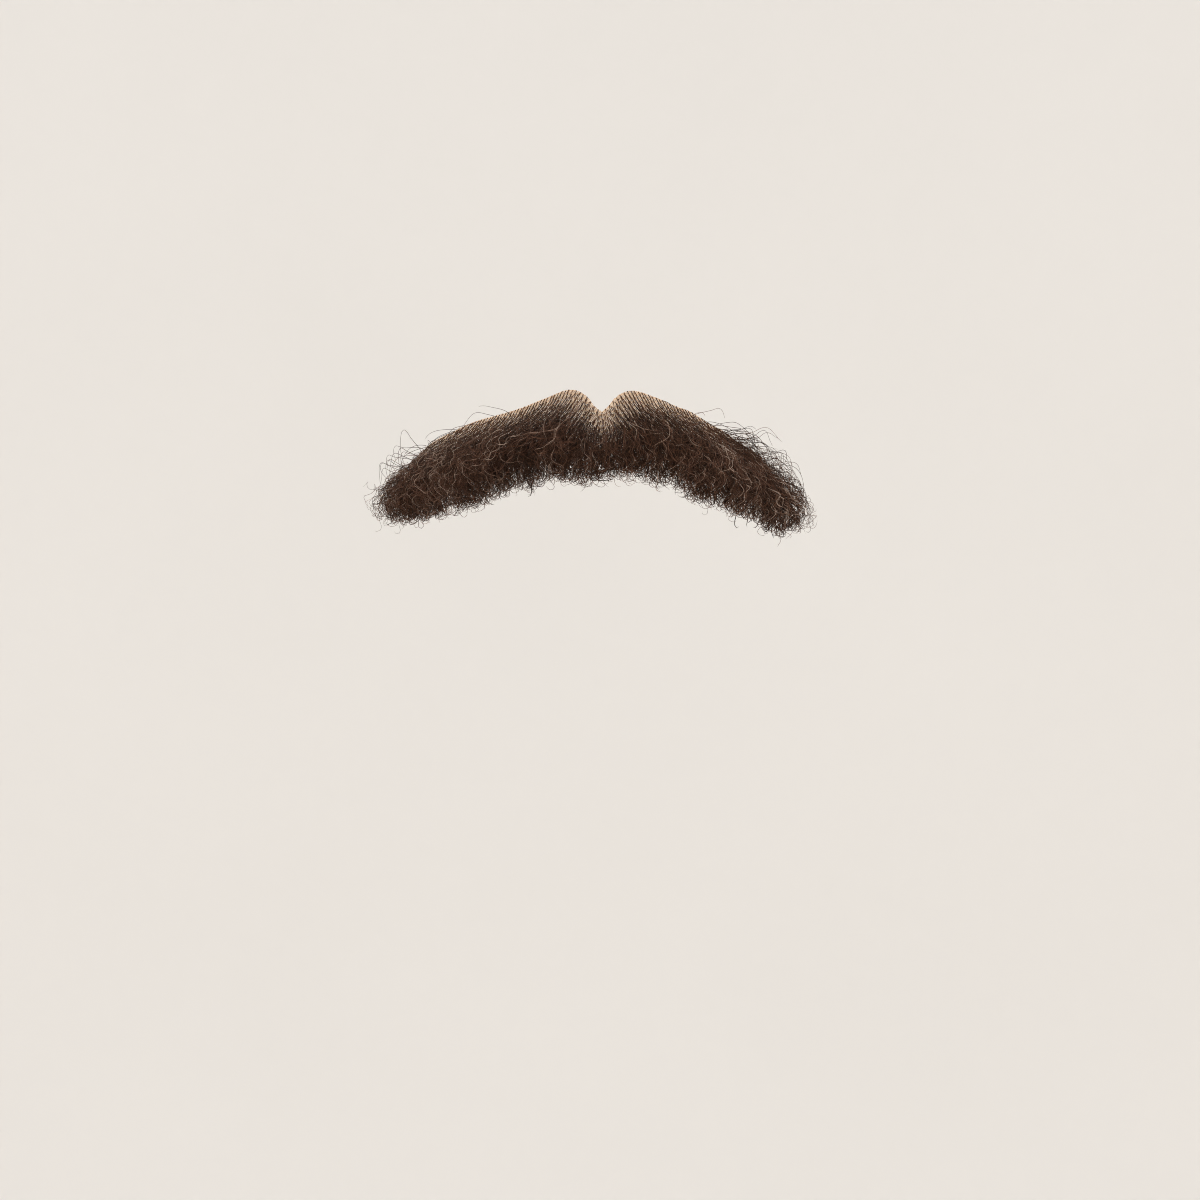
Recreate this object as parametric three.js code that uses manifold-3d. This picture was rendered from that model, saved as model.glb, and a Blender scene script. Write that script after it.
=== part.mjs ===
// A false moustache of curly hair knotted by hand into a lace base, in the bend that it is worn in.
// Millimetres. The front faces -Y, +X is to the right as seen from the front, and +Z is up.
// The origin is on the back of the lace at the parting, where the piece is stuck on.
// Left and right are as seen from the front.
import * as THREE from "three";
import { mergeVertices } from "three/addons/utils/BufferGeometryUtils.js";
import Module from "manifold-3d";

const wasm = await Module();
wasm.setup();

// The bend that the lace lies in: it falls back by BEND_FALL at BEND_HALF_WIDTH from the parting.
const BEND_HALF_WIDTH = 51;
const BEND_FALL = 30;
const BEND_ROUNDNESS = 1.9;
const BEND_LEAN = 0.08;

// The lace base
const LACE_WALL = 1;
const LACE_RISE = 0.5;
const LACE_COVER = 0.74;
const LACE_END_INSET = 4.5;
const LACE_ROUND_LENGTH = 8;
const LACE_END_SHARE = 0.25;

// The hair
const LEFT_REACH = 57.5;
const RIGHT_REACH = 51.5;
const TIP_OVERHANG = 1;
const CREST_RISE = 12.6;
const LEFT_DROP = 33;
const RIGHT_DROP = 36;
const HAIR_BULK = 6.6;
const EDGE_BULK = 0.9;
const FULLEST_DOWN = 0.59;
const HAIR_CLEARANCE = 0.3;
const PARTING_CLEARANCE = 0.3;
const HAIR_BACK = LACE_WALL + HAIR_CLEARANCE;

// How finely the curved pieces are faceted
const LACE_STEPS = { along: 40, down: 3 };
const HAIR_STEPS = { along: 20, down: 7 };
const LOCK_STEPS = { along: 9, around: 6 };

const LACE_COLOUR = 0xcdb393;
const HAIR_COLOUR = 0x3b2a24;

// Sections of each wing from the parting to its end. along is a share of the wing's reach. top and bottom are
// shares of its drop, measured down from the crest beside the parting. bulk is a share of HAIR_BULK.
const LEFT_SECTIONS = [
  { along: 0.0, top: 0.176, bottom: 0.609, bulk: 0.6 },
  { along: 0.03, top: 0.136, bottom: 0.642, bulk: 0.66 },
  { along: 0.065, top: 0.058, bottom: 0.667, bulk: 0.76 },
  { along: 0.13, top: 0.0, bottom: 0.658, bulk: 0.9 },
  { along: 0.27, top: 0.073, bottom: 0.652, bulk: 1.0 },
  { along: 0.375, top: 0.142, bottom: 0.706, bulk: 1.0 },
  { along: 0.485, top: 0.194, bottom: 0.776, bulk: 1.0 },
  { along: 0.59, top: 0.242, bottom: 0.855, bulk: 0.96 },
  { along: 0.7, top: 0.324, bottom: 0.909, bulk: 0.9 },
  { along: 0.78, top: 0.391, bottom: 0.936, bulk: 0.82 },
  { along: 0.86, top: 0.503, bottom: 0.964, bulk: 0.7 },
  { along: 0.93, top: 0.609, bottom: 0.975, bulk: 0.55 },
  { along: 1.0, top: 0.73, bottom: 0.94, bulk: 0.35 },
];
const RIGHT_SECTIONS = [
  { along: 0.0, top: 0.161, bottom: 0.558, bulk: 0.6 },
  { along: 0.03, top: 0.12, bottom: 0.545, bulk: 0.66 },
  { along: 0.08, top: 0.042, bottom: 0.549, bulk: 0.78 },
  { along: 0.15, top: 0.006, bottom: 0.566, bulk: 0.92 },
  { along: 0.26, top: 0.047, bottom: 0.6, bulk: 1.0 },
  { along: 0.375, top: 0.114, bottom: 0.653, bulk: 1.0 },
  { along: 0.455, top: 0.156, bottom: 0.711, bulk: 1.0 },
  { along: 0.54, top: 0.233, bottom: 0.763, bulk: 0.97 },
  { along: 0.62, top: 0.289, bottom: 0.803, bulk: 0.93 },
  { along: 0.7, top: 0.372, bottom: 0.85, bulk: 0.88 },
  { along: 0.79, top: 0.45, bottom: 0.919, bulk: 0.8 },
  { along: 0.87, top: 0.544, bottom: 0.965, bulk: 0.68 },
  { along: 0.94, top: 0.642, bottom: 0.965, bulk: 0.53 },
  { along: 1.0, top: 0.747, bottom: 0.925, bulk: 0.35 },
];

// Layers of curled locks on each wing. first and last are where the first and last lock start along the wing,
// from and to where the locks start and end down it, and sweep how far along it they run, all as shares.
// radius, wave and curl are shares of LOCK_RADIUS: half a lock's width, how far it sways, and how far its end
// curls aside.
const LOCK_LAYERS = [
  { count: 9, first: 0.1, last: 0.82, from: 0.14, to: 0.66, sweep: 0.13, radius: 1, wave: 0.4, curl: 0.85 },
  { count: 11, first: 0.04, last: 0.87, from: 0.48, to: 0.97, sweep: 0.1, radius: 0.9, wave: 0.3, curl: 0.7 },
];
// Locks that fan out of the wing's end. bend is 1 where a lock's end curls up, and -1 where it curls down.
const TIP_LOCKS = [
  { first: 0.8, from: 0.25, to: 0.16, bend: -1 },
  { first: 0.82, from: 0.5, to: 0.5, bend: 1 },
  { first: 0.8, from: 0.75, to: 0.82, bend: 1 },
];
const TIP_SHAPE = { radius: 0.9, wave: 0.2, curl: 0.55 };

// A lock's shape: half its fullest width, how thick it is against its width, how much of its thickness stands
// proud of the hair body, its width at its root and at its tip against its fullest, and how unlike its
// neighbours it is.
const LOCK_RADIUS = 2.1;
const LOCK_FLATNESS = 0.7;
const LOCK_PROUD = 0.55;
const LOCK_ROOT = 0.5;
const LOCK_TIP = 0.3;
const LOCK_VARIETY = { start: 0.04, end: 0.03, sweep: 0.2, radius: 0.15 };
const CURL_DOWN_SHARE = 0.35;

const LEFT_WING = { side: -1, reach: LEFT_REACH, drop: LEFT_DROP, sections: LEFT_SECTIONS };
const RIGHT_WING = { side: 1, reach: RIGHT_REACH, drop: RIGHT_DROP, sections: RIGHT_SECTIONS };

// A smooth curve through one column of a wing's sections, read at a share along the wing.
function column(sections, name, along) {
  const last = sections.length - 1;
  let i = 0;
  while (i < last - 1 && along > sections[i + 1].along) i += 1;
  const rise = (a, b) => (b[name] - a[name]) / (b.along - a.along);
  const here = rise(sections[i], sections[i + 1]);
  const before = i > 0 ? rise(sections[i - 1], sections[i]) : here;
  const after = i < last - 1 ? rise(sections[i + 1], sections[i + 2]) : here;
  const width = sections[i + 1].along - sections[i].along;
  const t = THREE.MathUtils.clamp((along - sections[i].along) / width, 0, 1);
  const startSlope = ((before + here) / 2) * width;
  const endSlope = ((here + after) / 2) * width;
  return (
    sections[i][name] * (2 * t ** 3 - 3 * t ** 2 + 1) +
    startSlope * (t ** 3 - 2 * t ** 2 + t) +
    sections[i + 1][name] * (3 * t ** 2 - 2 * t ** 3) +
    endSlope * (t ** 3 - t ** 2)
  );
}

// The way straight out of the bend at x.
function bendOutward(x) {
  const share = Math.abs(x) / BEND_HALF_WIDTH;
  const slope = ((BEND_FALL * BEND_ROUNDNESS) / BEND_HALF_WIDTH) * share ** (BEND_ROUNDNESS - 1);
  return new THREE.Vector3(Math.sign(x) * slope, -1, 0).normalize();
}

// The point that stands height off the back of the lace, at x and z.
function bendPoint(x, z, height) {
  const fall = BEND_FALL * (Math.abs(x) / BEND_HALF_WIDTH) ** BEND_ROUNDNESS;
  return new THREE.Vector3(x, fall + BEND_LEAN * z, z).addScaledVector(bendOutward(x), height);
}

// The height of a wing's edge above the origin, for its top or bottom column.
function edgeHeight(wing, name, along) {
  return CREST_RISE - wing.drop * column(wing.sections, name, along);
}

// The point at a share along and down a wing that stands height off the back of the lace.
function wingPoint(wing, along, down, height) {
  const top = edgeHeight(wing, "top", along);
  const bottom = edgeHeight(wing, "bottom", along);
  return bendPoint(wing.side * wing.reach * along, top + (bottom - top) * down, height);
}

// How thick the hair lies at a share along and down a wing: thin at the roots, fullest at FULLEST_DOWN, and
// tucked in again at the hem.
function hairDepth(wing, along, down) {
  const full = HAIR_BULK * column(wing.sections, "bulk", along);
  const skew = Math.log(0.5) / Math.log(FULLEST_DOWN);
  const swell = Math.sin(Math.PI * THREE.MathUtils.clamp(down, 0, 1) ** skew);
  return EDGE_BULK + (full - EDGE_BULK) * swell;
}

// A repeatable spread of values from -1 to 1.
function vary(index, kind) {
  const wave = Math.sin(index * 12.9898 + kind * 78.233) * 43758.5453;
  return 2 * (wave - Math.floor(wave)) - 1;
}

// A closed solid from a three.js geometry whose corners have been moved. turned flips its faces.
function solidFrom(geometry, turned) {
  geometry.deleteAttribute("normal");
  geometry.deleteAttribute("uv");
  const merged = mergeVertices(geometry, 1e-4);
  const vertProperties = merged.attributes.position.array;
  const triVerts = new Uint32Array(merged.index.array);
  if (turned) triVerts.reverse();
  return new wasm.Manifold(new wasm.Mesh({ numProp: 3, vertProperties, triVerts }));
}

// A unit block, cut into steps, whose corners are moved by place(u, v, w) with each share from 0 to 1.
function bentBlock(steps, place, turned) {
  const geometry = new THREE.BoxGeometry(1, 1, 1, steps.along, steps.down, 1);
  const position = geometry.attributes.position;
  for (let i = 0; i < position.count; i += 1) {
    const moved = place(position.getX(i) + 0.5, position.getY(i) + 0.5, position.getZ(i) + 0.5);
    position.setXYZ(i, moved.x, moved.y, moved.z);
  }
  return solidFrom(geometry, turned);
}

// A lock of hair: a flattened rod along a curve, fullest midway, where radius is half its width.
function lockAlong(curve, radius) {
  const geometry = new THREE.CylinderGeometry(1, 1, 1, LOCK_STEPS.around, LOCK_STEPS.along);
  const position = geometry.attributes.position;
  for (let i = 0; i < position.count; i += 1) {
    const t = position.getY(i) + 0.5;
    const point = curve.getPointAt(t);
    const onward = curve.getTangentAt(t);
    const across = bendOutward(point.x).cross(onward).normalize();
    const outward = onward.clone().cross(across);
    const thinnest = t < 0.5 ? LOCK_ROOT : LOCK_TIP;
    const width = radius * (thinnest + (1 - thinnest) * Math.sin(Math.PI * t));
    point.addScaledVector(across, position.getX(i) * width);
    point.addScaledVector(outward, -position.getZ(i) * width * LOCK_FLATNESS);
    position.setXYZ(i, point.x, point.y, point.z);
  }
  return solidFrom(geometry, false);
}

// A lock that lies on the hair body from start to end, sways on the way and curls aside at its end. bend is 1
// where it curls up and outward, and -1 where it curls back.
function lockOnWing(wing, start, end, shape, bend) {
  const points = [];
  const steps = 8;
  for (let i = 0; i <= steps; i += 1) {
    const t = i / steps;
    const along = start.along + (end.along - start.along) * t;
    const down = start.down + (end.down - start.down) * t;
    const proud = (2 * LOCK_PROUD - 1) * shape.radius * LOCK_RADIUS * LOCK_FLATNESS;
    points.push(wingPoint(wing, along, down, HAIR_BACK + hairDepth(wing, along, down) + proud));
  }
  const heading = points[steps].clone().sub(points[0]).normalize();
  points.forEach((point, i) => {
    const t = i / steps;
    const across = bendOutward(point.x).cross(heading).normalize();
    const aside = shape.wave * Math.sin(2 * Math.PI * t) + shape.curl * t ** 3;
    point.addScaledVector(across, -wing.side * bend * aside * LOCK_RADIUS);
  });
  return lockAlong(new THREE.CatmullRomCurve3(points), shape.radius * LOCK_RADIUS);
}

// Every lock of one wing.
function locksOf(wing) {
  const locks = [];
  for (const [rank, layer] of LOCK_LAYERS.entries()) {
    for (let i = 0; i < layer.count; i += 1) {
      const seed = i + 40 * rank + (wing.side > 0 ? 100 : 0);
      const along = layer.first + ((layer.last - layer.first) * i) / (layer.count - 1);
      const start = { along, down: layer.from + LOCK_VARIETY.start * vary(seed, 1) };
      const end = {
        along: along + layer.sweep * (1 + LOCK_VARIETY.sweep * vary(seed, 2)),
        down: layer.to + LOCK_VARIETY.end * vary(seed, 3),
      };
      const shape = { ...layer, radius: layer.radius * (1 + LOCK_VARIETY.radius * vary(seed, 4)) };
      const bend = vary(seed, 5) > 2 * CURL_DOWN_SHARE - 1 ? 1 : -1;
      locks.push(lockOnWing(wing, start, end, shape, bend));
    }
  }
  for (const tip of TIP_LOCKS) {
    const start = { along: tip.first, down: tip.from };
    const end = { along: 1 + TIP_OVERHANG / wing.reach, down: tip.to };
    locks.push(lockOnWing(wing, start, end, TIP_SHAPE, tip.bend));
  }
  return locks;
}

// One wing of hair: its felted body with the locks fused to it. The outermost shell is kept, so that a pocket
// closed in between locks is filled.
function wingHair(wing) {
  const inset = PARTING_CLEARANCE / 2 / wing.reach;
  const body = bentBlock(
    HAIR_STEPS,
    (u, v, w) => {
      const along = inset + (1 - inset) * u;
      return wingPoint(wing, along, 1 - v, HAIR_BACK + w * hairDepth(wing, along, 1 - v));
    },
    wing.side < 0,
  );
  const shells = wasm.Manifold.union([body, ...locksOf(wing)]).decompose();
  return shells.reduce((outer, shell) => (shell.volume() > outer.volume() ? shell : outer));
}

// The lace base: one sheet across both wings, notched at the parting and rounded at its ends.
function laceBase() {
  return bentBlock(
    LACE_STEPS,
    (u, v, w) => {
      const wing = u < 0.5 ? LEFT_WING : RIGHT_WING;
      const share = Math.abs(2 * u - 1);
      const reach = wing.reach - LACE_END_INSET;
      const along = (share * reach) / wing.reach;
      const top = edgeHeight(wing, "top", along) + LACE_RISE;
      const bottom = top + (edgeHeight(wing, "bottom", along) - top) * LACE_COVER;
      const pastRound = Math.max(0, share * reach - (reach - LACE_ROUND_LENGTH)) / LACE_ROUND_LENGTH;
      const rounding = LACE_END_SHARE + (1 - LACE_END_SHARE) * Math.sqrt(Math.max(0, 1 - pastRound ** 2));
      const half = ((top - bottom) / 2) * rounding;
      const middle = (top + bottom) / 2;
      return bendPoint(wing.side * share * reach, middle + half * (2 * v - 1), w * LACE_WALL);
    },
    false,
  );
}

// A named mesh of the solid in its own material.
function piece(name, solid, colour, roughness) {
  const made = solid.getMesh();
  const geometry = new THREE.BufferGeometry();
  geometry.setAttribute("position", new THREE.BufferAttribute(Float32Array.from(made.vertProperties), 3));
  geometry.setIndex(new THREE.BufferAttribute(Uint32Array.from(made.triVerts), 1));
  geometry.computeVertexNormals();
  const material = new THREE.MeshStandardMaterial({ color: colour, roughness, metalness: 0 });
  const mesh = new THREE.Mesh(geometry, material);
  mesh.name = name;
  return mesh;
}

const moustache = new THREE.Group();
moustache.add(
  piece("lace_base", laceBase(), LACE_COLOUR, 0.9),
  piece("left_wing_hair", wingHair(LEFT_WING), HAIR_COLOUR, 0.75),
  piece("right_wing_hair", wingHair(RIGHT_WING), HAIR_COLOUR, 0.75),
);

export default moustache;
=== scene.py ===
"""A false moustache of curly dark-brown hair, tied by hand into a beige lace net, in the bend it is worn in.

Shapes are worked out in millimetres in the bend that the lace lies in. A place on it is an arc, the length
along the bend from the parting and positive outwards along a wing, a rise above the origin, and a height off
the back of the lace. Left and right are as seen from the front.
"""

import bpy
import numpy as np
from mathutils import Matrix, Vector


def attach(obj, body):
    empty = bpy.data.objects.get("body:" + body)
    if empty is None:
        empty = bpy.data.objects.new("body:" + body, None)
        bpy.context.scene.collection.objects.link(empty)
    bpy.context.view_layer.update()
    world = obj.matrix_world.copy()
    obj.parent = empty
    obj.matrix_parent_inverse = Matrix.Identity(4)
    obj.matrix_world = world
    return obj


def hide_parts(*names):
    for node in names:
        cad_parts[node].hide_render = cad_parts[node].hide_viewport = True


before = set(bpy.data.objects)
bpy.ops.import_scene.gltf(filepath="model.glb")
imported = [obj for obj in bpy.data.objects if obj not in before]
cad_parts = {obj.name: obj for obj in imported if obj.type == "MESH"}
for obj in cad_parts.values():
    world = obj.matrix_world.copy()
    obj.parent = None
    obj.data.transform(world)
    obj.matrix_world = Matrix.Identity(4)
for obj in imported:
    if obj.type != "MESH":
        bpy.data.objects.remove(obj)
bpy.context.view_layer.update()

MM = 0.001
TAU = 2 * np.pi

# The bend that the lace lies in, as in the part's source.
BEND_HALF_WIDTH = 51.0
BEND_FALL = 30.0
BEND_ROUNDNESS = 1.9
BEND_LEAN = 0.08
BEND_TABLE_END = 90
BEND_TABLE_POINTS = 901

# The two wings, as in the part's source. A row of sections is one place along a wing, and its columns are
# shares of the wing's reach, of its drop twice, and of its bulk. Stray hairs leave the top edge from
# stray_from on, between the two angles below level of stray_lean. Wisps is how much further the longest hair
# hangs past the hem at the wing's end, as a share of its height there.
LACE_WALL = 1.3
CREST_RISE = 12.6
HAIR_BULK = 6.6
EDGE_BULK = 0.9
FULLEST_DOWN = 0.59
SECTION_COLUMNS = ("along", "top", "bottom", "bulk")
LEFT = {
    "name": "left",
    "side": -1,
    "reach": 57.5,
    "drop": 33.0,
    "strays": 26,
    "stray_from": 0.76,
    "stray_lean": (-1.2, 0.2),
    "wisps": 0.04,
    "seed": 41,
    "sections": (
        (0, 0.176, 0.609, 0.6),
        (0.03, 0.136, 0.642, 0.66),
        (0.065, 0.058, 0.667, 0.76),
        (0.13, 0, 0.658, 0.9),
        (0.27, 0.073, 0.652, 1),
        (0.375, 0.142, 0.706, 1),
        (0.485, 0.194, 0.776, 1),
        (0.59, 0.242, 0.855, 0.96),
        (0.7, 0.324, 0.909, 0.9),
        (0.78, 0.391, 0.936, 0.82),
        (0.86, 0.503, 0.964, 0.7),
        (0.93, 0.609, 0.975, 0.55),
        (1, 0.73, 0.94, 0.35),
    ),
}
RIGHT = {
    "name": "right",
    "side": 1,
    "reach": 51.5,
    "drop": 36.0,
    "strays": 150,
    "stray_from": 0.45,
    "stray_lean": (-0.8, 0.5),
    "wisps": 0.3,
    "seed": 87,
    "sections": (
        (0, 0.161, 0.558, 0.6),
        (0.03, 0.12, 0.545, 0.66),
        (0.08, 0.042, 0.549, 0.78),
        (0.15, 0.006, 0.566, 0.92),
        (0.26, 0.047, 0.6, 1),
        (0.375, 0.114, 0.653, 1),
        (0.455, 0.156, 0.711, 1),
        (0.54, 0.233, 0.763, 0.97),
        (0.62, 0.289, 0.803, 0.93),
        (0.7, 0.372, 0.85, 0.88),
        (0.79, 0.45, 0.919, 0.8),
        (0.87, 0.544, 0.965, 0.68),
        (0.94, 0.642, 0.965, 0.53),
        (1, 0.747, 0.925, 0.35),
    ),
}
WINGS = (LEFT, RIGHT)

# The lace: two sets of fine threads that cross in diamonds. Its real thread is about 0.06 mm thick, too fine
# to show here, so it is drawn coarser. One set lies under the other.
LACE_RISE = 0.5
LACE_COVER = 0.74
LACE_END_INSET = 4.5
LACE_ROUND_LENGTH = 8.0
LACE_END_SHARE = 0.25
LACE_PITCH = 0.4
LACE_THREAD = 0.24
LACE_FLATNESS = 0.45
LACE_UNDER_HEIGHT = 0.04
LACE_OVER_HEIGHT = 0.1
LACE_LEAN = 0.95
LACE_STEP = 1.2
LACE_HEIGHT = 0.15
LACE_SPAN = 200

# The knots: one where a few hairs are tied round the lace, in rows that follow the wing's top edge. From
# THIN_FROM of the wing's reach on they thin out, until END_THINNING of them are left out.
KNOT_PITCH = 0.95
ROW_PITCH = 0.86
MOST_ROWS = 40
LEAST_LACE = 1.5
END_THINNING = 0.25
THIN_FROM = 0.72
THIN_OVER = 0.2
KNOT_RADIUS = 0.2
KNOT_JITTER = 0.08
KNOT_INSET = 0.2

# The hairs: a human hair is 0.05 to 0.09 mm thick, too fine to show here, so it is drawn at about twice
# that. A knot's hairs lie together for TIED_LENGTH. Each hair swings in a long and a short wave. How far it
# swings and how sharply it curls back at the hem, HOOK_TURN, are in radians a millimetre.
HAIR_RADIUS = 0.07
TIED_LENGTH = 1.1
LIFT_LENGTH = 4.5
LONG_WAVE = 14.5
LONG_SWING = 0.24
SHORT_WAVE = 4.6
SHORT_SWING = 0.38
HOOK_TURN = 0.7
# The share of hairs that stand out above the rest and are painted lighter, a painted highlight.
PROUD_HIGHLIGHT_SHARE = 0.15
HANGING_SHARE = 0.12
SHADE_WIDTH = 0.02

# Each band of hair: its name, the shares of the lace's height between which its knots lie, the hairs in
# each knot, the points along each hair, the shortest and longest hair, how many times HAIR_RADIUS it is
# drawn at, and how far it lifts off the lace. The under hair is what lies felted together next to the lace,
# a few hairs stuck together in each strand, and it is painted near-black as painted shade, the shade that
# the hair above casts between the locks.
BAND_COLUMNS = ("name", "from", "to", "hairs", "points", "shortest", "longest", "thick", "lift")
BANDS = (
    ("hairline", -1, 0.17, 1, 27, 8, 18, 1, 1),
    ("upper", 0.17, 0.36, 2, 27, 9, 19, 1, 1),
    ("middle", 0.36, 0.62, 3, 23, 9, 18, 1.2, 1),
    ("lower", 0.62, 1, 5, 18, 6, 14, 1.25, 1),
    ("under", 0.34, 1, 1, 13, 7, 13, 2.6, 0.42),
)

# The stray hairs: the ranges of their lengths and heights in millimetres, and of how far they turn and sway
# in radians a millimetre.
STRAY_POINTS = 25
STRAY_LENGTH = (8, 23)
STRAY_HEIGHT = (1.0, 4.0)
STRAY_TURN = (0.06, 0.18)
STRAY_SWAY = (0.05, 0.4)
STRAY_THICK = 1.1

# The studio, in metres: a floor that curves up into a wall, three soft lights round the moustache, and the
# light of the room.
FLOOR_RISE = -1.5
FLOOR_FLAT = 1.6
FLOOR_CURVE = 1.2
FLOOR_WALL = 2.6
LIGHT_COLUMNS = ("name", "place", "size", "power", "colour")
LIGHTS = (
    ("key_light", (-0.8, -1.6, 1.5), 0.6, 54, 0xFFF8F0),
    ("fill_light", (1.4, -1.9, 0.4), 1.2, 18, 0xFAFAFF),
    ("back_light", (0.3, 1.9, 0.9), 1.4, 10, 0xFFFFFF),
)
ROOM_LIGHT = 0.69

# The camera, in millimetres: PIXEL is the real size of one of the photograph's pixels at the parting, which
# is at PARTING_PIXEL in a picture FRAME_PIXELS wide.
PIXEL = 0.26
FRAME_PIXELS = 1200
PARTING_PIXEL = (602, 440)
CAMERA_DISTANCE = 1200.0
SENSOR_WIDTH = 36.0


def slope_through(x, y):
    """Slope at each point of a table: the mean of the slopes of the stretches on either side of it."""
    rise = np.diff(y) / np.diff(x)
    return np.concatenate([rise[:1], (rise[1:] + rise[:-1]) / 2, rise[-1:]])


def column(wing, name, along):
    """A smooth curve through a wing's column: between two rows, the cubic with their values and slopes."""
    sections = np.array(wing["sections"], float)
    x = sections[:, SECTION_COLUMNS.index("along")]
    y = sections[:, SECTION_COLUMNS.index(name)]
    slopes = slope_through(x, y)
    i = np.clip(np.searchsorted(x, along, side="right") - 1, 0, len(x) - 2)
    width = x[i + 1] - x[i]
    t = np.clip((along - x[i]) / width, 0, 1)
    start = y[i] * (2 * t**3 - 3 * t**2 + 1) + slopes[i] * width * (t**3 - 2 * t**2 + t)
    end = y[i + 1] * (3 * t**2 - 2 * t**3) + slopes[i + 1] * width * (t**3 - t**2)
    return start + end


def edge(wing, name, along):
    """The rise of a wing's top or bottom edge: the crest's rise less that share of the wing's drop."""
    return CREST_RISE - wing["drop"] * column(wing, name, along)


def hair_depth(wing, along, down):
    """How thick the hair lies: a sine from the top edge to the hem, skewed to be fullest at FULLEST_DOWN."""
    full = HAIR_BULK * column(wing, "bulk", along)
    skew = np.log(0.5) / np.log(FULLEST_DOWN)
    return EDGE_BULK + (full - EDGE_BULK) * np.sin(np.pi * np.clip(down, 0, 1) ** skew)


def bend_slope(x):
    """How steeply the bend falls back at x: the slope of BEND_FALL times a power of x."""
    share = np.abs(x) / BEND_HALF_WIDTH
    return BEND_FALL * BEND_ROUNDNESS / BEND_HALF_WIDTH * share ** (BEND_ROUNDNESS - 1)


# Lengths along the bend from the parting, against x
X_TABLE = np.linspace(0, BEND_TABLE_END, BEND_TABLE_POINTS)
STEP_TABLE = np.hypot(1, bend_slope(X_TABLE))
MEAN_STEP = (STEP_TABLE[1:] + STEP_TABLE[:-1]) / 2
ARC_TABLE = np.concatenate([[0], np.cumsum(MEAN_STEP * np.diff(X_TABLE))])


def x_of(arc):
    """The distance x from the parting, sideways, of a length along the bend."""
    return np.sign(arc) * np.interp(np.abs(arc), ARC_TABLE, X_TABLE)


def arc_of(x):
    """The length along the bend from the parting to x."""
    return np.sign(x) * np.interp(np.abs(x), X_TABLE, ARC_TABLE)


def outward(x):
    """The way straight out of the bend at x: square to its slope, and level."""
    slope = bend_slope(x) * np.sign(x)
    ways = np.stack([slope, -np.ones_like(slope), np.zeros_like(slope)], axis=-1)
    return ways / np.linalg.norm(ways, axis=-1, keepdims=True)


def on_bend(side, arc, rise, height):
    """Points at an arc, rise and height: on the bend's curve, moved straight out of it by the height."""
    x = side * x_of(arc)
    fall = BEND_FALL * (np.abs(x) / BEND_HALF_WIDTH) ** BEND_ROUNDNESS
    back = np.stack([x, fall + BEND_LEAN * rise, rise + 0 * x], axis=-1)
    return back + outward(x) * np.asarray(height)[..., None]


def along_down(wing, arc, rise):
    """A place as shares of its wing: how far along its reach, and how far down from its top edge."""
    along = x_of(arc) / wing["reach"]
    top = edge(wing, "top", along)
    bottom = edge(wing, "bottom", along)
    return along, (top - rise) / (top - bottom)


def lace_edges(wing, arc):
    """The rises of the lace's bottom and top: LACE_COVER of the wing's height, rounded at the wing's end."""
    x = x_of(arc)
    reach = wing["reach"] - LACE_END_INSET
    along = x / wing["reach"]
    top = edge(wing, "top", along) + LACE_RISE
    bottom = top + (edge(wing, "bottom", along) - top) * LACE_COVER
    past = np.clip((x - reach + LACE_ROUND_LENGTH) / LACE_ROUND_LENGTH, 0, 1)
    half = (top - bottom) / 2 * (LACE_END_SHARE + (1 - LACE_END_SHARE) * np.sqrt(1 - past**2))
    middle = (top + bottom) / 2
    return np.where(x <= reach, middle - half, middle), np.where(x <= reach, middle + half, middle)


def smooth(t):
    """A step from 0 to 1 with level ends: 3t squared less 2t cubed."""
    t = np.clip(t, 0, 1)
    return t * t * (3 - 2 * t)


def linear(hex_colour):
    """An sRGB hex colour as linear red, green, blue and 1."""
    srgb = np.array([hex_colour >> 16 & 255, hex_colour >> 8 & 255, hex_colour & 255]) / 255
    return (*np.where(srgb <= 0.04045, srgb / 12.92, ((srgb + 0.055) / 1.055) ** 2.4), 1.0)


def mesh_object(name, points, faces, point_uv=None):
    """A piece from points in millimetres and lists of faces with equally many corners in each list."""
    mesh = bpy.data.meshes.new(name)
    corners = np.concatenate([f.ravel() for f in faces])
    totals = np.concatenate([np.full(len(f), f.shape[1]) for f in faces])
    mesh.vertices.add(len(points))
    mesh.vertices.foreach_set("co", (points * MM).astype(np.float32).ravel())
    mesh.loops.add(len(corners))
    mesh.loops.foreach_set("vertex_index", corners.astype(np.int32))
    mesh.polygons.add(len(totals))
    mesh.polygons.foreach_set("loop_start", (np.cumsum(totals) - totals).astype(np.int32))
    if point_uv is not None:
        layer = mesh.uv_layers.new(name="OFBake")
        layer.uv.foreach_set("vector", point_uv[corners].astype(np.float32).ravel())
    mesh.update(calc_edges=True)
    mesh.shade_smooth()
    piece = bpy.data.objects.new(name, mesh)
    bpy.context.scene.collection.objects.link(piece)
    return piece


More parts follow.
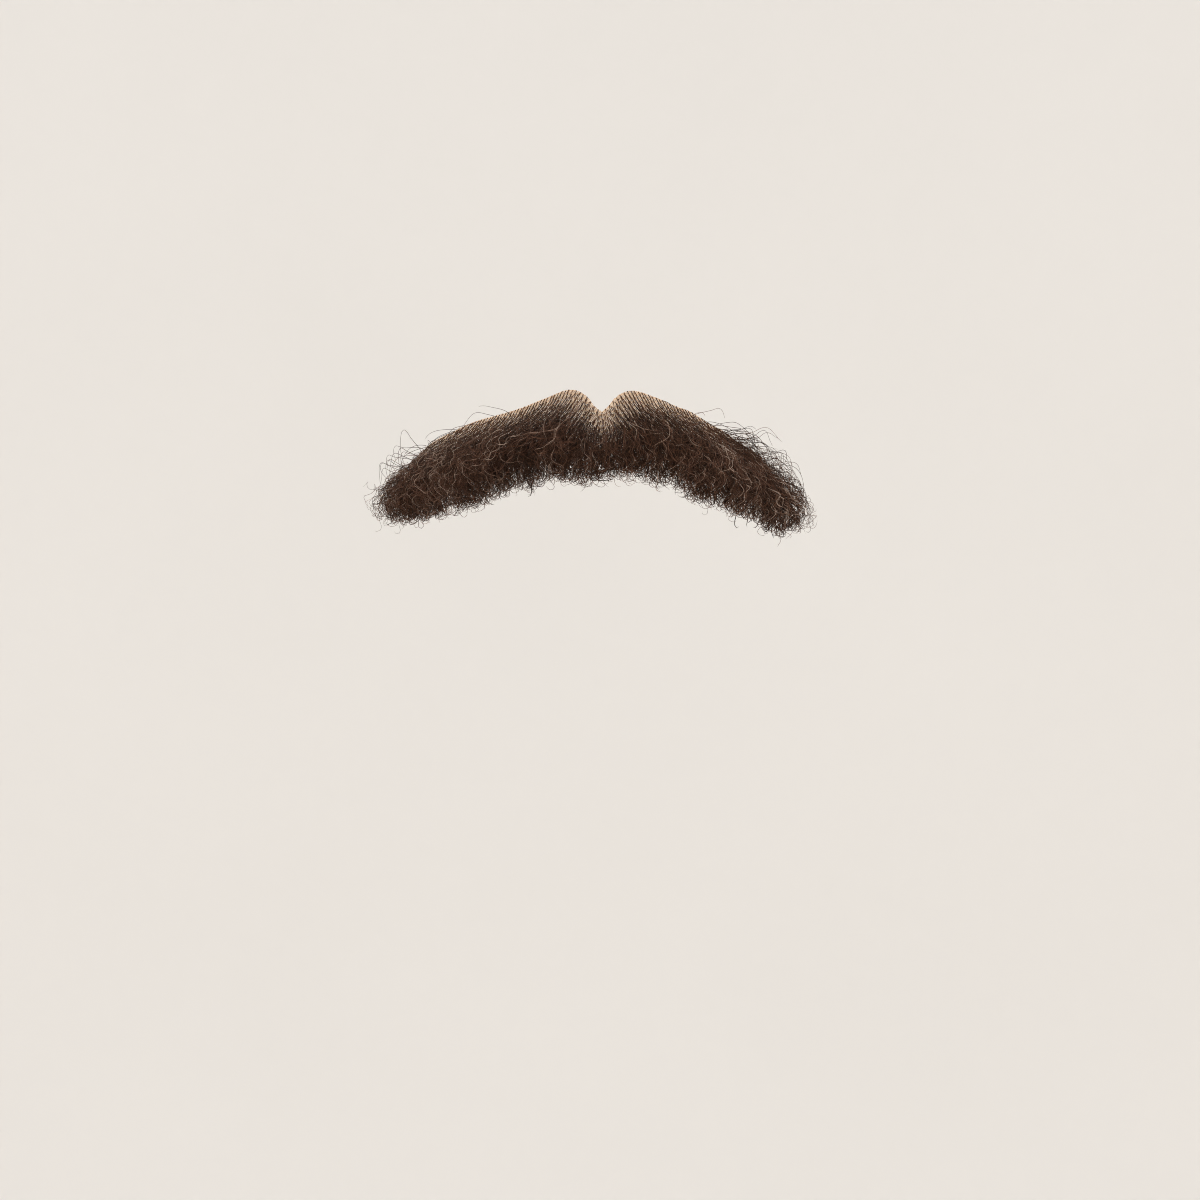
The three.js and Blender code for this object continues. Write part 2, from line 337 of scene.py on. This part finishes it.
def hairs(name, paths, radii, shades):
    """Hairs as closed three-sided tubes: a triangle stands square to the path at each point but the last.

    Its corners lie at the radius round the path, a third of a turn apart, measured from the way out of the
    bend. The root is closed by its own triangle, and the last point is the tip. Along a hair the map's
    second coordinate runs from 0 to 1, and its first is the hair's own shade, a little wider than a line.
    """
    count, steps, _ = paths.shape
    rings = steps - 1
    onward = np.gradient(paths, axis=1)
    onward /= np.linalg.norm(onward, axis=2, keepdims=True)
    across = np.cross(onward, outward(paths[..., 0]))
    across /= np.linalg.norm(across, axis=2, keepdims=True)
    up = np.cross(across, onward)
    turn = TAU * np.arange(3) / 3
    ring = across[:, :rings, None] * np.cos(turn)[:, None] + up[:, :rings, None] * np.sin(turn)[:, None]
    ring = paths[:, :rings, None] + ring * radii[:, :rings, None, None]
    points = np.concatenate([ring.reshape(count, rings * 3, 3), paths[:, -1:]], axis=1).reshape(-1, 3)

    first = (np.arange(count) * (rings * 3 + 1))[:, None, None]
    step = np.arange(rings - 1)[None, :, None] * 3
    corner = np.arange(3)
    here = first + step + corner
    beside = first + step + (corner + 1) % 3
    sides = np.stack([here, beside, beside + 3, here + 3], axis=-1).reshape(-1, 4)
    last = first[:, 0] + (rings - 1) * 3
    tip = first[:, 0] + rings * 3 + 0 * corner
    tips = np.stack([last + corner, last + (corner + 1) % 3, tip], axis=-1).reshape(-1, 3)
    roots = first[:, 0] + np.array([[2, 1, 0]])

    shade = shades[:, None, None] + SHADE_WIDTH * corner / 3
    down = (np.arange(rings) / rings)[None, :, None]
    ring_uv = np.stack(np.broadcast_arrays(shade, down), axis=-1).reshape(count, rings * 3, 2)
    tip_uv = np.stack([shades + SHADE_WIDTH / 3, np.ones(count)], axis=-1)[:, None]
    point_uv = np.concatenate([ring_uv, tip_uv], axis=1).reshape(-1, 2)
    return mesh_object(name, points, [sides, tips, roots], point_uv)


def knots_of(wing, rng):
    """Where a wing's knots lie, as arcs, rises and shares of the lace's height.

    Rows lie a ROW_PITCH apart below the lace's top edge. In a row the knots are a KNOT_PITCH apart, every
    other row shifted by half of that, and each knot is moved a little at random. Towards the wing's end they
    thin out.
    """
    longest = arc_of(wing["reach"])
    place, row = np.meshgrid(np.arange(int(longest / KNOT_PITCH)), np.arange(MOST_ROWS))
    arc = (place + 0.5 * (row % 2 + (wing["side"] > 0) * (row % 2 == 0) * 2)) * KNOT_PITCH
    bottom, top = lace_edges(wing, arc)
    rise = top - KNOT_INSET - ROW_PITCH * row
    share = (top - rise) / np.maximum(top - bottom, 0.01)
    thinning = END_THINNING * smooth((x_of(arc) / wing["reach"] - THIN_FROM) / THIN_OVER)
    on_net = (rise > bottom + KNOT_INSET) & (top - bottom > LEAST_LACE)
    kept = on_net & (rng.random(arc.shape) > thinning)
    jitter = rng.normal(0, KNOT_JITTER, (2, kept.sum()))
    return arc[kept] + jitter[0], rise[kept] + jitter[1], share[kept]


def field(arc, rise, seeds):
    """A smooth field from about -1 to 1 over the wing, so that hairs tied near each other bend alike: the
    sum of four sine waves of 5 to 14 mm, each with a way and a start of its own, over 2.4."""
    total = 0
    for way, length, start in seeds:
        total = total + np.sin(TAU * (arc * np.cos(way) + rise * np.sin(way)) / length + start)
    return total / 2.4


def field_seeds(rng):
    """The ways, lengths and starts of a field's four waves."""
    return [(rng.uniform(0, TAU), rng.uniform(5, 14), rng.uniform(0, TAU)) for _ in range(4)]


# How far below level hair leaves its knot, by its place along the wing
HEADING_ALONG = [0, 0.04, 0.1, 0.2, 0.5, 0.8, 0.92, 1]
HEADING_DEGREES = [80, 68, 62, 58, 54, 40, 20, 4]


def hair_heading(wing, arc, share):
    """The angle below level at which hair leaves its knot: steep by the parting, flatter towards the wing's
    end, and steeper down the lace. Angles are as seen from the front, and are turned into the bend."""
    along = x_of(arc) / wing["reach"]
    seen = np.radians(np.interp(along, HEADING_ALONG, HEADING_DEGREES))
    seen += np.radians(22) * smooth((share - 0.3) / 0.5) + np.radians(10) * smooth(1 - along / 0.1) * share
    slope = np.hypot(1, bend_slope(x_of(arc)))
    return np.arctan2(np.sin(seen), np.cos(seen) * slope)


def lay(wing, arc, rise, own, step, limits, hook):
    """Lays hairs over a wing, from their knots on, and gives the arcs and rises of their points.

    Each step follows the hair's own heading, turned by all that has steered it so far. Past its limit at
    the hem a hair is steered by HOOK_TURN its own way, up or down. Past the top edge it is steered straight
    down, and past the wing's end down and back, so that it curls over the hair.
    """
    arcs, rises = np.empty_like(own), np.empty_like(own)
    steered = np.zeros(len(own))
    for i in range(own.shape[1]):
        arcs[:, i], rises[:, i] = arc, rise
        along, down = along_down(wing, arc, rise)
        heading = own[:, i] + steered
        pull = hook * smooth((down - limits["hem"]) / 0.1)
        pull = pull + 1.5 * np.sin(TAU / 4 - heading) * smooth((-down - limits["top"]) / 0.1)
        pull = pull + 1.5 * np.sin(TAU * 3 / 8 - heading) * smooth((along - limits["end"]) / 0.035)
        steered = steered + HOOK_TURN * np.clip(pull, -1, 1) * step
        arc = arc + np.cos(heading) * step
        rise = rise - np.sin(heading) * step
    return arcs, rises


def hair_band(wing, band, knots, seeds, rng):
    """The hairs of a band of knots, as paths, radii and shades. A few stand out above the rest, and are
    painted lighter as painted highlight.

    A knot's hairs leave it together, along the wing's own heading, and part a little further on. From there
    each turns steadily and in a long and a short wave, which start nearly alike for hairs tied near each
    other. Its height grows from the knot to its own share of the hair's depth, and sways as it curls.
    """
    inside = (knots[2] > band["from"]) & (knots[2] <= band["to"])
    knot_count, hair_count = inside.sum(), band["hairs"]
    count = knot_count * hair_count
    arc, rise, share = (np.repeat(values[inside], hair_count) for values in knots)
    along = x_of(arc) / wing["reach"]
    ends = smooth((along - 0.5) / 0.42)
    own_way = np.repeat(rng.uniform(0.15, 1.0, knot_count), hair_count)

    def spread(size):
        """A number for each hair: one for all of a knot's hairs, and less of each hair's own."""
        together = np.repeat(rng.normal(0, 1, knot_count), hair_count)
        return size * (together + own_way * rng.normal(0, 0.7, count))

    proud_highlight = rng.random(count) < PROUD_HIGHLIGHT_SHARE
    length = rng.uniform(band["shortest"], band["longest"], count)
    length = length * np.where(proud_highlight, 0.75, 1 + 0.35 * ends**2)
    samples = 3 * (band["points"] - 1) + 1
    step = length / (samples - 1)
    reach = np.arange(samples) * step[:, None]

    steady = (0.07 * share - 0.03 * smooth(along / 0.12) + 0.2 * ends**2 + spread(0.05))[:, None]
    long_start = (2.6 * field(arc, rise, seeds[0]) + spread(0.7))[:, None]
    short_start = (2.6 * field(arc, rise, seeds[1]) + spread(1.2))[:, None]
    long_wave, short_wave = (LONG_WAVE + spread(1.6))[:, None], (SHORT_WAVE + spread(0.45))[:, None]
    bend = steady + (LONG_SWING + spread(0.07))[:, None] * np.sin(TAU * reach / long_wave + long_start)
    frizz = (SHORT_SWING + 0.16 * share + 0.34 * ends + spread(0.14))[:, None]
    bend += frizz * np.sin(TAU * reach / short_wave + short_start)
    bend *= smooth((reach - TIED_LENGTH - 6 * ends[:, None] ** 2) / 2.5)
    leaving = hair_heading(wing, arc, share) + np.repeat(rng.normal(0, 0.1, knot_count), hair_count)
    apart = own_way * rng.normal(0, 0.25, count)
    own = leaving[:, None] + apart[:, None] * smooth((reach - TIED_LENGTH / 2) / 2)
    own += np.cumsum(bend, axis=1) * step[:, None]
    hangs = rng.random(count) < HANGING_SHARE
    hanging = rng.uniform(1, 1.08 + wing["wisps"] * ends)
    limits = {
        "hem": np.where(hangs, hanging, rng.normal(0.94, 0.035, count)) - 0.08 * ends,
        "top": rng.normal(-0.12, 0.05, count) + 0.24 * smooth((along - wing["stray_from"]) / 0.3),
        "end": rng.normal(1.06, 0.035, count),
    }
    hook = np.where(rng.random(count) < 0.35 + 0.45 * ends, 1, -1)
    arc_path, rise_path = lay(wing, arc, rise, own, step, limits, hook)

    layer = band["lift"] * (np.clip(1 - 0.65 * share + spread(0.16), 0.22, 1.0) + 0.15 * proud_highlight)
    path_along, path_down = along_down(wing, arc_path, rise_path)
    full = LACE_WALL + hair_depth(wing, np.clip(path_along, 0, 1), path_down)
    height = LACE_HEIGHT + smooth(reach / LIFT_LENGTH) ** 0.8 * (layer[:, None] * full - LACE_HEIGHT)
    sway = band["lift"] * rng.uniform(0.3, 0.9, count)[:, None] * smooth((reach - TIED_LENGTH) / 3)
    height += sway * np.sin(TAU * reach / short_wave + short_start + 1.5)
    height = np.maximum(height, LACE_HEIGHT)

    paths = on_bend(wing["side"], arc_path, rise_path, height)[:, ::3]
    t = np.linspace(0, 1, band["points"])
    thick = HAIR_RADIUS * band["thick"] * (rng.uniform(0.75, 1.05, count) - 0.1 * proud_highlight)[:, None]
    tied, free = smooth(1.4 - reach[:, ::3] / 1.6), smooth(reach[:, ::3] / 5 - 0.6)
    radii = thick * (0.8 + 0.2 * free + 1.1 * tied / band["thick"] ** 1.5 - 0.5 * t**2)
    patch = field(arc, rise, seeds[1])
    # Each hair's shade: a random tone for its knot and for itself, patches of the field, lighter towards the
    # wing's end, and much lighter for the hairs that stand out, a painted highlight.
    shades = 0.62 * np.repeat(rng.random(knot_count), hair_count) + 0.26 * rng.random(count)
    shades += 0.1 * patch + 0.14 * smooth((along - 0.2) / 0.4) + 0.3 * proud_highlight
    shades = 0.01 + 0.96 * np.clip(shades, 0, 1)
    return paths, radii, shades


def stray_hairs(wing, knots, rng):
    """Stray hairs: thin arcs that leave the outer part of the top edge, and bend over and back down to it. A
    stray turns steadily, and sways in one sine wave on top of that."""
    arc, rise, share = knots
    along = x_of(arc) / wing["reach"]
    nearness = smooth((along - wing["stray_from"]) / 0.2) + 0.06
    nearness = np.where((share < 0.25) & (along > 0.3), nearness, 0)
    chosen = rng.choice(len(arc), wing["strays"], p=nearness / nearness.sum())
    arc, rise = arc[chosen], rise[chosen]
    count = len(arc)
    samples = 3 * (STRAY_POINTS - 1) + 1
    step = rng.uniform(*STRAY_LENGTH, count) / (samples - 1)
    reach = np.arange(samples) * step[:, None]
    start = rng.uniform(*wing["stray_lean"], (count, 1))
    turn = rng.uniform(*STRAY_TURN, (count, 1))
    wave = rng.uniform(*STRAY_SWAY, (count, 1)) * np.sin(reach * rng.uniform(0.5, 1.1, (count, 1)))
    own = start + turn * reach + wave
    limits = {
        "hem": rng.uniform(0.9, 1.2, count),
        "top": rng.uniform(0.12, 0.6, count),
        "end": rng.normal(1.03, 0.03, count),
    }
    arc_path, rise_path = lay(wing, arc, rise, own, step, limits, rng.choice([-1, 1], count))
    height = LACE_HEIGHT + smooth(reach / 6) * rng.uniform(*STRAY_HEIGHT, count)[:, None]
    paths = on_bend(wing["side"], arc_path, rise_path, height)[:, ::3]
    radii = HAIR_RADIUS * STRAY_THICK * (1 - 0.5 * np.linspace(0, 1, STRAY_POINTS)) * np.ones((count, 1))
    return paths, radii, 0.2 + 0.6 * rng.random(count)


def lace_net():
    """The lace: straight threads a LACE_PITCH apart, leaning LACE_LEAN radians from level to either side.

    Laid flat, a thread is made of stretches a LACE_STEP long, and each stretch that lies on the lace is a
    three-sided rod from one end to the other, so that neighbours meet end to end along the thread. A stretch
    that crosses the lace's edge is cut off there: its outer end moves by halves to where the edge is.
    """
    starts, ends, heights = [], [], []
    for lean, height in ((LACE_LEAN, LACE_UNDER_HEIGHT), (-LACE_LEAN, LACE_OVER_HEIGHT)):
        onward = np.array([np.cos(lean), np.sin(lean)]) * LACE_STEP
        aside = np.array([-np.sin(lean), np.cos(lean)]) * LACE_PITCH
        i, j = np.meshgrid(np.arange(-LACE_SPAN, LACE_SPAN), np.arange(-LACE_SPAN, LACE_SPAN))
        start = (i[..., None] * onward + j[..., None] * aside).reshape(-1, 2)
        starts.append(start)
        ends.append(start + onward)
        heights.append(np.full(len(start), height))
    start, end, height = np.concatenate(starts), np.concatenate(ends), np.concatenate(heights)
    start_in, end_in = on_lace(start), on_lace(end)
    inner = np.where(start_in[:, None], start, end)
    outer = np.where(start_in[:, None], end, start)
    crossing = (start_in != end_in)[:, None]
    for _ in range(8):
        half = (inner + outer) / 2
        half_in = on_lace(half)[:, None]
        inner = np.where(crossing & half_in, half, inner)
        outer = np.where(crossing & ~half_in, half, outer)
    start = np.where(start_in[:, None], start, outer)
    end = np.where(end_in[:, None], end, outer)
    kept = (start_in | end_in) & (np.linalg.norm(end - start, axis=1) > LACE_THREAD / 4)
    start, end, height = start[kept], end[kept], height[kept]
    from_point = on_bend(1, start[:, 0], start[:, 1], height)
    to_point = on_bend(1, end[:, 0], end[:, 1], height)
    out = outward(from_point[:, 0])
    onward = to_point - from_point
    onward /= np.linalg.norm(onward, axis=1, keepdims=True)
    across = np.cross(onward, out)
    turn = TAU * np.arange(3) / 3 + TAU / 4
    ring = across[:, None] * np.cos(turn)[:, None] + out[:, None] * LACE_FLATNESS * np.sin(turn)[:, None]
    ring = ring * LACE_THREAD / np.sqrt(3)
    points = np.concatenate([from_point[:, None] + ring, to_point[:, None] + ring], axis=1).reshape(-1, 3)
    base = (np.arange(len(start)) * 6)[:, None, None]
    sides = (base + np.array([[0, 1, 4, 3], [1, 2, 5, 4], [2, 0, 3, 5]])).reshape(-1, 4)
    caps = (base + np.array([[2, 1, 0], [3, 4, 5]])).reshape(-1, 3)
    return mesh_object("lace_net", points, [sides, caps])


def on_lace(place):
    """Whether places laid flat, each an arc from the parting to the right and a rise, lie on the lace."""
    left_low, left_high = lace_edges(LEFT, -place[:, 0])
    right_low, right_high = lace_edges(RIGHT, place[:, 0])
    low = np.where(place[:, 0] < 0, left_low, right_low)
    high = np.where(place[:, 0] < 0, left_high, right_high)
    return (place[:, 1] > low) & (place[:, 1] < high)


def lace_cut():
    """The lace laid flat: its length from end to end, its greatest height, and its area."""
    area, low, high, length = 0.0, 0.0, 0.0, 0.0
    for wing in WINGS:
        arc = np.linspace(0, arc_of(wing["reach"] - LACE_END_INSET), 400)
        bottom, top = lace_edges(wing, arc)
        area += float(((top - bottom)[1:] * np.diff(arc)).sum())
        length += float(arc[-1])
        low, high = min(low, float(bottom.min())), max(high, float(top.max()))
    return length, high - low, area


def root_knots(wing, arc, rise, shades):
    """A wing's knots: an eight-sided bead at each, KNOT_RADIUS across and a little less out of the lace."""
    ways = np.array([[1, 0, 0], [0, 1, 0], [-1, 0, 0], [0, -1, 0], [0, 0, 1], [0, 0, -1]], float)
    around = np.arange(4)
    onward = (around + 1) % 4
    outer = np.stack([around, onward, 4 + 0 * around], axis=-1)
    inner = np.stack([onward, around, 5 + 0 * around], axis=-1)
    facets = np.concatenate([outer, inner])
    middles = on_bend(wing["side"], arc, rise, LACE_HEIGHT + 0 * arc)
    out = outward(middles[:, 0])
    up = np.broadcast_to([0.0, 0.0, 1.0], out.shape)
    frames = np.stack([np.cross(up, out), up, out * 0.9], axis=1) * KNOT_RADIUS
    points = (middles[:, None] + np.einsum("kc,ncd->nkd", ways, frames)).reshape(-1, 3)
    faces = ((np.arange(len(middles)) * 6)[:, None, None] + facets).reshape(-1, 3)
    shade = shades[:, None] + SHADE_WIDTH / 2 * ways[:, 0]
    down = SHADE_WIDTH * (1 + ways[:, 1]) + 0 * shade
    point_uv = np.stack([shade, down], axis=-1).reshape(-1, 2)
    return mesh_object(wing["name"] + "_root_knots", points, [faces], point_uv)


def new_material(name):
    """A node material with its shader, empty but for the output."""
    material = bpy.data.materials.new(name)
    material.use_nodes = True
    return material, material.node_tree.nodes["Principled BSDF"]


def node(material, kind, links=None, values=None, stops=None, **settings):
    """Adds one node: settings are its properties, values its sockets' numbers, links its sockets' sources,
    and stops a ramp's places from 0 to 1, each with an sRGB hex colour."""
    made = material.node_tree.nodes.new(kind)
    for key, value in settings.items():
        setattr(made, key, value)
    for key, value in (values or {}).items():
        made.inputs[key].default_value = value
    for key, source in (links or {}).items():
        material.node_tree.links.new(source, made.inputs[key])
    for i, (place, colour) in enumerate(stops or ()):
        element = made.color_ramp.elements[i] if i < 2 else made.color_ramp.elements.new(place)
        element.position = place
        element.color = linear(colour)
    return made


def curly_human_hair():
    """Human hair, dyed dark brown and set in curls: each hair has a shade of its own, from nearly black to
    a few light greyish ones, which are partly the hair's own tone and partly painted highlight standing for
    the shine on the curls. It fades warmer at its root, and at its tip as painted light shining through the
    thin ends. Its scales make its shine soft and broken."""
    material, shader = new_material("curly_human_hair")
    own = node(material, "ShaderNodeUVMap", uv_map="OFBake")
    parts = node(material, "ShaderNodeSeparateXYZ", {"Vector": own.outputs["UV"]})
    # The lightest, greyish stops are partly the hair's own tone and partly painted highlight.
    stops = [(0.0, 0x150D0A), (1.0, 0xAC998B), (0.42, 0x251711), (0.66, 0x472F25), (0.85, 0x6E5447)]
    shade = node(material, "ShaderNodeValToRGB", {"Fac": parts.outputs["X"]}, stops=stops)
    # Warmer at the root, and at the tip as painted light shining through the thin ends.
    stops = [(0.0, 0x9A9A9A), (1.0, 0x8A8A8A), (0.16, 0x000000), (0.55, 0x000000)]
    fade = node(material, "ShaderNodeValToRGB", {"Fac": parts.outputs["Y"]}, stops=stops)
    links, values = {"Factor": fade.outputs["Color"], 6: shade.outputs["Color"]}, {7: linear(0x6B452B)}
    tip = node(material, "ShaderNodeMix", links, values, data_type="RGBA")
    material.node_tree.links.new(tip.outputs[2], shader.inputs["Base Color"])
    links, values = {"Vector": own.outputs["UV"]}, {"Scale": (40.0, 260.0, 1.0)}
    scales = node(material, "ShaderNodeMapping", links, values)
    links, values = {"Vector": scales.outputs["Vector"]}, {"Scale": 1.0, "Detail": 2.0}
    noise = node(material, "ShaderNodeTexNoise", links, values)
    links, values = {"Value": noise.outputs["Fac"]}, {"To Min": 0.36, "To Max": 0.6}
    rough = node(material, "ShaderNodeMapRange", links, values)
    material.node_tree.links.new(rough.outputs["Result"], shader.inputs["Roughness"])
    links, values = {"Height": noise.outputs["Fac"]}, {"Strength": 0.15, "Distance": 0.00002}
    bump = node(material, "ShaderNodeBump", links, values)
    material.node_tree.links.new(bump.outputs["Normal"], shader.inputs["Normal"])
    shader.inputs["IOR"].default_value = 1.55
    shader.inputs["Specular IOR Level"].default_value = 0.3
    shader.inputs["Specular Tint"].default_value = linear(0xE8C8AC)
    return material


def matted_hair_painted_shade():
    """The same hair where it lies felted next to the lace, painted darker as painted shade where it shows
    between the locks, in fine ridges the width of a hair.
    """
    material, shader = new_material("matted_hair_painted_shade")
    place = node(material, "ShaderNodeTexCoord")
    links, values = {"Vector": place.outputs["Object"]}, {"Scale": (2600.0, 2600.0, 700.0)}
    ridges = node(material, "ShaderNodeMapping", links, values)
    links, values = {"Vector": ridges.outputs["Vector"]}, {"Scale": 1.0, "Detail": 3.0}
    noise = node(material, "ShaderNodeTexNoise", links, values)
    # Near-black browns: painted shade between the locks.
    stops = [(0.35, 0x160E0A), (0.75, 0x33221A)]
    shade = node(material, "ShaderNodeValToRGB", {"Fac": noise.outputs["Fac"]}, stops=stops)
    material.node_tree.links.new(shade.outputs["Color"], shader.inputs["Base Color"])
    links, values = {"Height": noise.outputs["Fac"]}, {"Strength": 0.8, "Distance": 0.0002}
    bump = node(material, "ShaderNodeBump", links, values)
    material.node_tree.links.new(bump.outputs["Normal"], shader.inputs["Normal"])
    shader.inputs["Roughness"].default_value = 0.75
    shader.inputs["IOR"].default_value = 1.55
    return material


def nylon_lace():
    """Nude nylon lace: a dull beige monofilament with a faint shine along each thread, its dye uneven."""
    material, shader = new_material("nylon_lace")
    place = node(material, "ShaderNodeTexCoord")
    links, values = {"Vector": place.outputs["Object"]}, {"Scale": 900.0, "Detail": 3.0}
    noise = node(material, "ShaderNodeTexNoise", links, values)
    stops = [(0.3, 0xBB9C7D), (0.7, 0xD3B696)]
    shade = node(material, "ShaderNodeValToRGB", {"Fac": noise.outputs["Fac"]}, stops=stops)
    material.node_tree.links.new(shade.outputs["Color"], shader.inputs["Base Color"])
    links, values = {"Height": noise.outputs["Fac"]}, {"Strength": 0.3, "Distance": 0.00005}
    bump = node(material, "ShaderNodeBump", links, values)
    material.node_tree.links.new(bump.outputs["Normal"], shader.inputs["Normal"])
    shader.inputs["Roughness"].default_value = 0.55
    shader.inputs["IOR"].default_value = 1.53
    return material


def studio_paper():
    """Pale studio paper: matt, and very slightly mottled."""
    material, shader = new_material("studio_paper")
    place = node(material, "ShaderNodeTexCoord")
    links, values = {"Vector": place.outputs["Object"]}, {"Scale": 3.0, "Detail": 2.0}
    noise = node(material, "ShaderNodeTexNoise", links, values)
    stops = [(0.0, 0xE2E0DD), (1.0, 0xE6E4E1)]
    shade = node(material, "ShaderNodeValToRGB", {"Fac": noise.outputs["Fac"]}, stops=stops)
    material.node_tree.links.new(shade.outputs["Color"], shader.inputs["Base Color"])
    shader.inputs["Roughness"].default_value = 0.9
    return material


def dress(piece, material, nodes):
    """Gives a piece its material, sets it to ride on the root body, and hides the parts of model.glb that it
    stands for.
    """
    piece.data.materials.append(material)
    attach(piece, "root")
    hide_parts(*nodes)
    return piece


def studio_floor(material):
    """A pale floor that curves up all round into a wall: a profile of radius and height turned round the
    upright axis. Flat to FLOOR_FLAT, then a quarter circle, then straight up."""
    turn = np.linspace(0, np.pi / 2, 17)
    radius = np.concatenate([[0.0], FLOOR_FLAT + FLOOR_CURVE * np.sin(turn), [FLOOR_FLAT + FLOOR_CURVE]])
    height = np.concatenate([[0.0], FLOOR_CURVE * (1 - np.cos(turn)), [FLOOR_WALL]])
    around = TAU * np.arange(64) / 64
    east, north = radius[:, None] * np.cos(around), radius[:, None] * np.sin(around)
    points = np.stack([east, north, height[:, None] + FLOOR_RISE + 0 * around], axis=-1)
    i = np.arange(len(radius) - 1)[:, None] * 64
    j = np.arange(64)[None, :]
    k = (j + 1) % 64
    faces = np.stack([i + j, i + 64 + j, i + 64 + k, i + k], axis=-1).reshape(-1, 4)
    floor = mesh_object("studio_floor", points.reshape(-1, 3) / MM, [faces])
    floor.data.materials.append(material)
    return floor


def area_light(name, place, size, power, colour):
    """A soft square light at a place in metres, turned to face the parting, itself out of the picture."""
    light = bpy.data.lights.new(name, "AREA")
    light.size = size
    light.energy = power
    light.color = linear(colour)[:3]
    lamp = bpy.data.objects.new(name, light)
    lamp.location = place
    lamp.visible_camera = False
    lamp.rotation_euler = (-Vector(place)).to_track_quat("-Z", "Y").to_euler()
    bpy.context.scene.collection.objects.link(lamp)
    return lamp


def room_light():
    """The even white light of the room."""
    world = bpy.data.worlds.new("room_light")
    world.use_nodes = True
    background = world.node_tree.nodes["Background"]
    background.inputs["Color"].default_value = (1, 1, 1, 1)
    background.inputs["Strength"].default_value = ROOM_LIGHT
    bpy.context.scene.world = world


def crisp_picture():
    """Plain colours, and a pixel that takes in little of its neighbours, so that single hairs stay crisp."""
    bpy.context.scene.view_settings.view_transform = "Standard"
    bpy.context.scene.cycles.denoising_prefilter = "NONE"
    bpy.context.scene.cycles.filter_width = 1.0


def camera():
    """The camera a little below the moustache, as the photograph's was, looking straight at the front.

    It stands aside by as much as the parting is off the picture's middle, and its lens frames the same width
    as the photograph.
    """
    data = bpy.data.cameras.new("camera")
    data.sensor_width = SENSOR_WIDTH
    data.lens = SENSOR_WIDTH * CAMERA_DISTANCE / (FRAME_PIXELS * PIXEL)
    eye = bpy.data.objects.new("camera", data)
    middle = FRAME_PIXELS / 2
    eye.location = (
        (middle - PARTING_PIXEL[0]) * PIXEL * MM,
        -CAMERA_DISTANCE * MM,
        (PARTING_PIXEL[1] - middle) * PIXEL * MM,
    )
    eye.rotation_euler = (np.pi / 2, 0, 0)
    bpy.context.scene.collection.objects.link(eye)
    bpy.context.scene.camera = eye


def moustache():
    """Every piece of the moustache, dressed."""
    hair, painted_shade_finish, lace = curly_human_hair(), matted_hair_painted_shade(), nylon_lace()
    length, height, area = lace_cut()
    net = dress(lace_net(), lace, ["lace_base"])
    for wing in WINGS:
        rng = np.random.default_rng(wing["seed"])
        nodes = [wing["name"] + "_wing_hair"]
        knots = knots_of(wing, rng)
        seeds = [field_seeds(rng), field_seeds(rng)]
        for band in (dict(zip(BAND_COLUMNS, row)) for row in BANDS):
            paths, radii, shades = hair_band(wing, band, knots, seeds, rng)
            # The under band takes the near-black finish, painted shade.
            finish = painted_shade_finish if band["name"] == "under" else hair
            dress(hairs(f"{wing['name']}_{band['name']}_hair", paths, radii, shades), finish, nodes)
        paths, radii, shades = stray_hairs(wing, knots, rng)
        dress(hairs(wing["name"] + "_stray_hair", paths, radii, shades), hair, nodes)
        shades = rng.uniform(0.05, 0.7, len(knots[0]))
        dress(root_knots(wing, knots[0], knots[1], shades), hair, nodes)


moustache()
studio_floor(studio_paper())
for row in LIGHTS:
    area_light(**dict(zip(LIGHT_COLUMNS, row)))
room_light()
crisp_picture()
camera()
